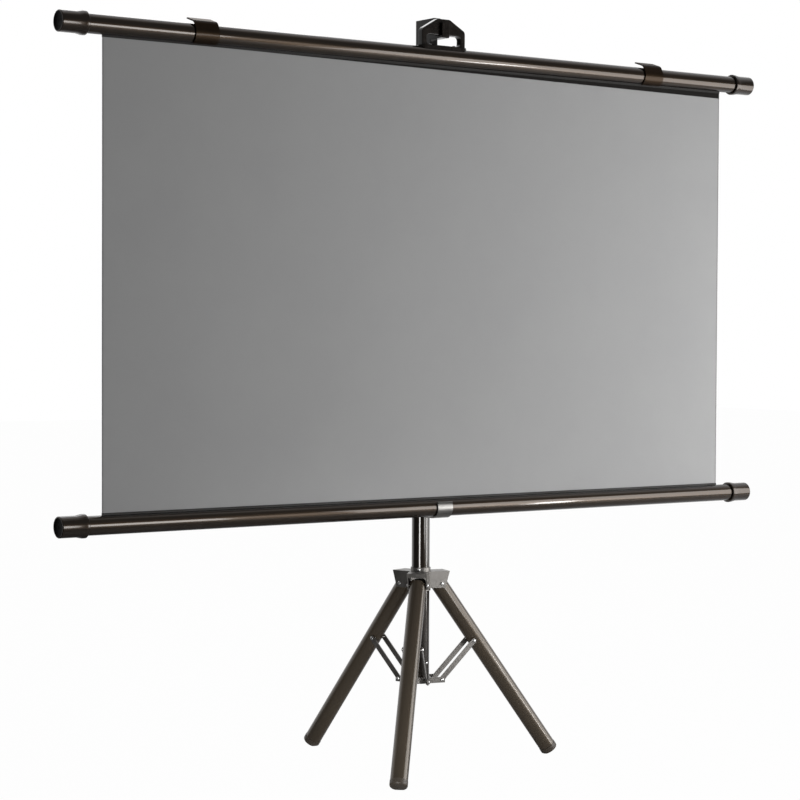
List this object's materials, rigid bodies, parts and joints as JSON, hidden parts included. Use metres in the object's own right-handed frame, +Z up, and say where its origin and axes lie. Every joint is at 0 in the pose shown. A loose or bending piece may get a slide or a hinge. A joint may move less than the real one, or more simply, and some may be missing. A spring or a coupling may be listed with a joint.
{
  "type": "tripod projection screen",
  "caption": "Portable projection screen: a grey sheet between two slotted rods, hooked to a telescoping mast and cradled on a folding tripod.",
  "frame": {"origin": "on the floor, under the axis of the pole", "axes": "+X along the rods, to the right as seen by the audience; -Y towards the audience; +Z up"},
  "size_m": [1.4814, 0.4516, 1.309],
  "materials": {
    "rod_paint": "brown-black powder coat with a soft sheen",
    "tube_paint": "brown-black gloss paint on steel tube",
    "clip_paint": "brown-black paint on spring steel",
    "bracket_metal": "dark grey plated sheet steel",
    "cradle_metal": "bright brushed sheet steel",
    "cap_gloss": "black moulded plastic, glossy",
    "handle_gloss": "black moulded plastic, satin gloss",
    "knob_matte": "black moulded plastic, fine matt grain",
    "foot_rubber": "black rubber",
    "plated_steel": "bright zinc plate",
    "strip_black": "black extruded edging, matt",
    "screen_fabric": "neutral grey projection cloth, fine matt weave"
  },
  "bodies": {
    "stand": {"pole": "tube_paint", "pole_plug": "knob_matte", "spreader": "bracket_metal", "mast_clamp": "knob_matte"},
    "hub": {"hub": "bracket_metal", "hub_screw": "plated_steel", "hub_rivet_front": "plated_steel", "hub_rivet_left": "plated_steel", "hub_rivet_right": "plated_steel"},
    "leg_front": {"leg_front": "tube_paint", "foot_front": "foot_rubber", "strut_rivet_front": "plated_steel"},
    "leg_left": {"leg_left": "tube_paint", "foot_left": "foot_rubber", "strut_rivet_left": "plated_steel"},
    "leg_right": {"leg_right": "tube_paint", "foot_right": "foot_rubber", "strut_rivet_right": "plated_steel"},
    "strut_front": {"strut_front_a": "bracket_metal", "strut_front_b": "bracket_metal"},
    "strut_left": {"strut_left_a": "bracket_metal", "strut_left_b": "bracket_metal"},
    "strut_right": {"strut_right_a": "bracket_metal", "strut_right_b": "bracket_metal"},
    "screen": {"mast": "tube_paint", "mast_bush": "knob_matte", "hook": "handle_gloss", "handle": "handle_gloss", "handle_screw_left": "plated_steel", "handle_screw_right": "plated_steel", "top_rod": "rod_paint", "bottom_rod": "rod_paint", "top_cap_left": "cap_gloss", "top_cap_right": "cap_gloss", "bottom_cap_left": "cap_gloss", "bottom_cap_right": "cap_gloss", "top_strip": "strip_black", "bottom_strip": "strip_black", "sheet": "screen_fabric", "hang_clip_left": "clip_paint", "hang_clip_right": "clip_paint"},
    "cradle": {"cradle": "cradle_metal"},
    "mast_knob": {"mast_knob": "knob_matte"},
    "cradle_knob": {"cradle_knob": "knob_matte"}
  },
  "joints": [
    {"name": "hub_slide", "type": "slide", "parent": "stand", "child": "hub", "axis": [0, 0, 1], "range_m": [0, 0.04105]},
    {"name": "leg_fold_front", "type": "hinge", "parent": "hub", "child": "leg_front", "pos_m": [-0.02379, -0.02429, 0.3175], "axis": [0.7145, -0.6997, 0], "range_deg": [0, 35.4]},
    {"name": "strut_swing_front", "type": "hinge", "parent": "leg_front", "child": "strut_front", "pos_m": [-0.06732, -0.06875, 0.21329], "axis": [0.7145, -0.6997, 0], "range_deg": [-84.86, 0]},
    {"name": "leg_fold_left", "type": "hinge", "parent": "hub", "child": "leg_left", "pos_m": [-0.00914, 0.03275, 0.3175], "axis": [-0.9632, -0.2689, 0], "range_deg": [0, 35.4]},
    {"name": "strut_swing_left", "type": "hinge", "parent": "leg_left", "child": "strut_left", "pos_m": [-0.02587, 0.09267, 0.21329], "axis": [-0.9632, -0.2689, 0], "range_deg": [-84.86, 0]},
    {"name": "leg_fold_right", "type": "hinge", "parent": "hub", "child": "leg_right", "pos_m": [0.03293, -0.00846, 0.3175], "axis": [0.2487, 0.9686, 0], "range_deg": [0, 35.4]},
    {"name": "strut_swing_right", "type": "hinge", "parent": "leg_right", "child": "strut_right", "pos_m": [0.0932, -0.02393, 0.21329], "axis": [0.2487, 0.9686, 0], "range_deg": [-84.86, 0]},
    {"name": "screen_lift", "type": "slide", "parent": "stand", "child": "screen", "axis": [0, 0, 1], "range_m": [-0.03, 0.25]},
    {"name": "cradle_lift", "type": "slide", "parent": "stand", "child": "cradle", "axis": [0, 0, 1], "range_m": [-0.03, 0.25]},
    {"name": "mast_knob_turn", "type": "hinge", "parent": "stand", "child": "mast_knob", "pos_m": [0, 0.0396, 0.813], "axis": [0, 1, 0], "range_deg": [0, 360]},
    {"name": "cradle_knob_turn", "type": "hinge", "parent": "cradle", "child": "cradle_knob", "pos_m": [0, 0.0383, 0.4575], "axis": [0, 1, 0], "range_deg": [0, 360]}
  ],
  "couplings": [
    {"joint": "leg_fold_front", "follows": "hub_slide", "rad_per_m": 15.021},
    {"joint": "strut_swing_front", "follows": "hub_slide", "rad_per_m": -36.035},
    {"joint": "leg_fold_left", "follows": "hub_slide", "rad_per_m": 15.021},
    {"joint": "strut_swing_left", "follows": "hub_slide", "rad_per_m": -36.035},
    {"joint": "leg_fold_right", "follows": "hub_slide", "rad_per_m": 15.021},
    {"joint": "strut_swing_right", "follows": "hub_slide", "rad_per_m": -36.035},
    {"joint": "cradle_lift", "follows": "screen_lift", "ratio": 1}
  ]
}
